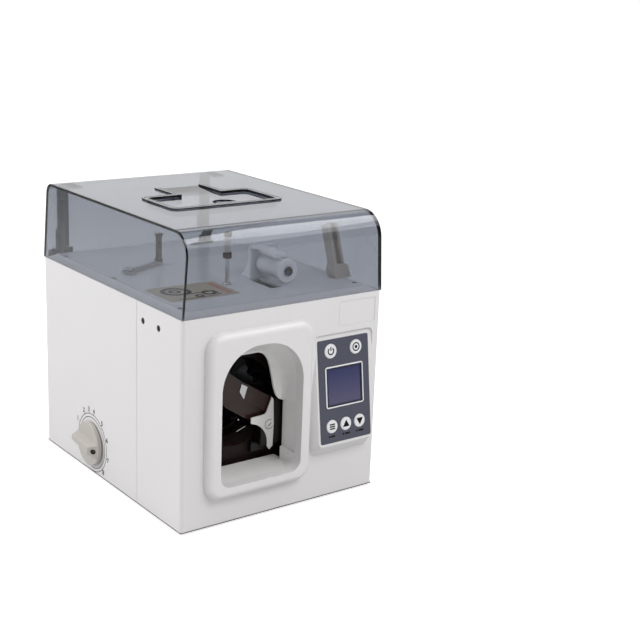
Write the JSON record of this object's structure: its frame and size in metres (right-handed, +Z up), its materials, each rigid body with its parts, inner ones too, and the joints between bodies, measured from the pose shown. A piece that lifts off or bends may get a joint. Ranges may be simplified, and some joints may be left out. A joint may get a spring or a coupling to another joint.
{
  "type": "banknote strapping machine",
  "caption": "Desktop machine that feeds paper tape round a stack of banknotes pushed into its front mouth, with a keypad panel, side dial and hinged smoked lid.",
  "frame": {"origin": "on the table under the middle of the outer box", "axes": "+X to the right as the user faces the mouth and keys, +Y to the back, +Z up"},
  "size_m": [0.25, 0.305, 0.29],
  "materials": {
    "cover_plastic": "fine moulded satin",
    "liner_plastic": "smooth",
    "deck_plastic": "smooth, reflective",
    "smoked_clear": "clear, smoke tinted",
    "strap_plastic": "satin",
    "hinge_metal": "satin paint",
    "bright_steel": "turned and ground",
    "zinc_steel": "zinc plated",
    "overlay_film": "printed film",
    "frame_print": "satin",
    "display_glass": "clear window over a blue display",
    "display_body": "plain",
    "board_green": "solder mask",
    "black_plastic": "plain",
    "key_white": "satin",
    "knob_plastic": "satin",
    "motor_body": "satin",
    "white_acetal": "smooth",
    "arm_metal": "satin",
    "brown_plastic": "glossy",
    "beige_plastic": "satin",
    "dark_plate": "glossy dark",
    "feed_rubber": "ground",
    "nylon": "plain",
    "brass_pinion": "machined",
    "blade_steel": "ground",
    "foot_rubber": "moulded"
  },
  "bodies": {
    "housing": {"base_plate": "zinc_steel", "feet": "foot_rubber", "cover_screws": "bright_steel", "front_cover": "cover_plastic", "rear_shell": "cover_plastic", "mouth_liner": "liner_plastic", "deck": "deck_plastic", "panel_overlay": "overlay_film", "display_frame": "frame_print", "display_window": "display_glass", "display_module": "display_body", "control_board": "board_green", "key_switches": "black_plastic", "hinge_brackets": "hinge_metal", "hinge_pins": "bright_steel", "tension_dial_pot": "black_plastic", "roller_bracket": "white_acetal", "roller_pin": "bright_steel", "reel_arm_pivot": "bright_steel", "guide_post": "bright_steel", "post_fittings": "black_plastic", "lid_support": "beige_plastic", "front_plate": "dark_plate", "rear_plate": "dark_plate", "plate_studs": "bright_steel", "tape_arch": "brown_plastic", "tape_chutes": "black_plastic", "feed_motor": "motor_body", "head_block": "black_plastic", "jaw_rods": "bright_steel", "cam_motor": "motor_body", "front_block": "black_plastic", "retaining_plate": "blade_steel", "transformer": "motor_body", "power_board": "board_green", "power_inlet": "black_plastic", "trigger_bracket": "dark_plate"},
    "lid": {"lid": "smoked_clear", "hinge_straps": "strap_plastic", "lid_knuckles": "hinge_metal"},
    "upper_left_key": {"upper_left_key": "key_white"},
    "upper_right_key": {"upper_right_key": "key_white"},
    "set_key": {"set_key": "key_white"},
    "up_key": {"up_key": "key_white"},
    "down_key": {"down_key": "key_white"},
    "tension_knob": {"tension_knob": "knob_plastic", "knob_shaft": "bright_steel"},
    "guide_roller": {"guide_roller": "white_acetal"},
    "reel_arm": {"reel_arm": "arm_metal"},
    "reel_arm_roller": {"reel_arm_roller": "brown_plastic"},
    "feed_roller": {"feed_roller": "feed_rubber", "feed_gear": "nylon"},
    "pinch_roller": {"pinch_roller": "bright_steel"},
    "motor_pinion": {"motor_pinion": "brass_pinion"},
    "cam_shaft": {"cam_shaft": "bright_steel"},
    "press_jaw": {"press_jaw": "dark_plate", "cutter_blade": "blade_steel"},
    "clamp_arm": {"clamp_arm": "brown_plastic"},
    "power_switch": {"power_switch": "black_plastic"},
    "note_trigger": {"note_trigger": "black_plastic"}
  },
  "joints": [
    {"name": "lid_hinge", "type": "hinge", "parent": "housing", "child": "lid", "pos_m": [0, 0.14846, 0.211], "axis": [-1, 0, 0], "range_deg": [0, 100]},
    {"name": "upper_left_key_press", "type": "slide", "parent": "housing", "child": "upper_left_key", "axis": [0, 0.9919, -0.1271], "range_m": [0, 0.0008], "stiffness_N_per_m": 900},
    {"name": "upper_right_key_press", "type": "slide", "parent": "housing", "child": "upper_right_key", "axis": [0, 0.9919, -0.1271], "range_m": [0, 0.0008], "stiffness_N_per_m": 900},
    {"name": "set_key_press", "type": "slide", "parent": "housing", "child": "set_key", "axis": [0, 0.9919, -0.1271], "range_m": [0, 0.0008], "stiffness_N_per_m": 900},
    {"name": "up_key_press", "type": "slide", "parent": "housing", "child": "up_key", "axis": [0, 0.9919, -0.1271], "range_m": [0, 0.0008], "stiffness_N_per_m": 900},
    {"name": "down_key_press", "type": "slide", "parent": "housing", "child": "down_key", "axis": [0, 0.9919, -0.1271], "range_m": [0, 0.0008], "stiffness_N_per_m": 900},
    {"name": "knob_turn", "type": "hinge", "parent": "housing", "child": "tension_knob", "pos_m": [-0.105, 0.03646, 0.0345], "axis": [-1, 0, 0], "range_deg": [-150, 120]},
    {"name": "guide_roller_spin", "type": "hinge", "parent": "housing", "child": "guide_roller", "pos_m": [0.043, -0.07054, 0.2285], "axis": [0, 1, 0], "continuous": true},
    {"name": "reel_arm_swing", "type": "hinge", "parent": "housing", "child": "reel_arm", "pos_m": [-0.069, 0.01946, 0.217], "axis": [0, 0, 1], "range_deg": [-25, 35], "stiffness_Nm_per_rad": 0.02},
    {"name": "reel_arm_roller_spin", "type": "hinge", "parent": "reel_arm", "child": "reel_arm_roller", "pos_m": [-0.02296, 0.04045, 0.233], "axis": [0, 0, 1], "continuous": true},
    {"name": "feed_roller_spin", "type": "hinge", "parent": "housing", "child": "feed_roller", "pos_m": [0.0432, -0.07404, 0.165], "axis": [0, 1, 0], "continuous": true},
    {"name": "pinch_roller_spin", "type": "hinge", "parent": "housing", "child": "pinch_roller", "pos_m": [0.0198, -0.07404, 0.165], "axis": [0, 1, 0], "continuous": true},
    {"name": "motor_pinion_spin", "type": "hinge", "parent": "housing", "child": "motor_pinion", "pos_m": [0.0673, -0.04054, 0.165], "axis": [0, 1, 0], "continuous": true},
    {"name": "cam_turn", "type": "hinge", "parent": "housing", "child": "cam_shaft", "pos_m": [0.071, -0.07404, 0.083], "axis": [0, 1, 0], "range_deg": [0, 180]},
    {"name": "press_jaw_slide", "type": "slide", "parent": "housing", "child": "press_jaw", "axis": [-1, 0, 0], "range_m": [0, 0.005]},
    {"name": "clamp_arm_swing", "type": "hinge", "parent": "housing", "child": "clamp_arm", "pos_m": [-0.051, -0.10304, 0.143], "axis": [0, -1, 0], "range_deg": [0, 15], "stiffness_Nm_per_rad": 0.2},
    {"name": "power_switch_rock", "type": "hinge", "parent": "housing", "child": "power_switch", "pos_m": [0.069, 0.14246, 0.034], "axis": [1, 0, 0], "range_deg": [0, 18]},
    {"name": "note_trigger_swing", "type": "hinge", "parent": "housing", "child": "note_trigger", "pos_m": [-0.017, -0.01004, 0.092], "axis": [1, 0, 0], "range_deg": [0, 20], "stiffness_Nm_per_rad": 0.02}
  ],
  "couplings": [
    {"joint": "pinch_roller_spin", "follows": "feed_roller_spin", "ratio": -1.5556},
    {"joint": "motor_pinion_spin", "follows": "feed_roller_spin", "ratio": -3},
    {"joint": "cam_turn", "follows": "press_jaw_slide", "rad_per_m": 628.32}
  ]
}
